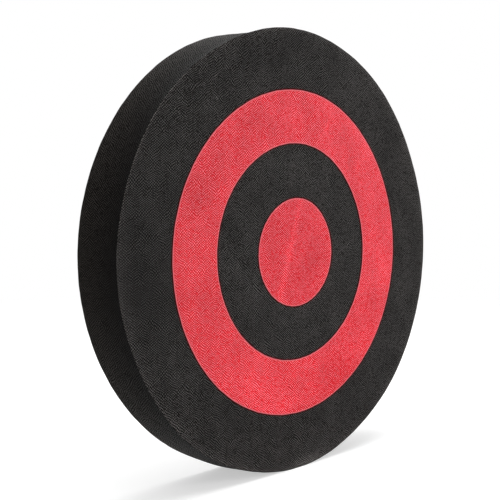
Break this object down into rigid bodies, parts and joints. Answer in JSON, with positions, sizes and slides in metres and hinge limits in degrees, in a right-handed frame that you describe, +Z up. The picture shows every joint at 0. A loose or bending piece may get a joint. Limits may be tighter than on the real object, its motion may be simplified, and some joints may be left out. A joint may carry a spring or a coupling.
{
  "type": "foam target",
  "caption": "Round, thick black foam target that stands on its rim, with a red ring and a red bullseye printed on the front face and a plain back.",
  "frame": {"origin": "on the floor, at the middle of the flat foot under the rim, half-way between the front and back faces", "axes": "+Z up; -Y out of the printed face, along the disc's axis; +X to the right when looking at the printed face"},
  "size_m": [0.3, 0.04, 0.2991],
  "materials": {
    "black_foam": "closed-cell foam, matte, pressed grain on both faces",
    "red_print": "flexible print film, matte"
  },
  "bodies": {
    "root": {"foam_disc": "black_foam", "red_ring": "red_print", "red_bullseye": "red_print"}
  },
  "joints": []
}
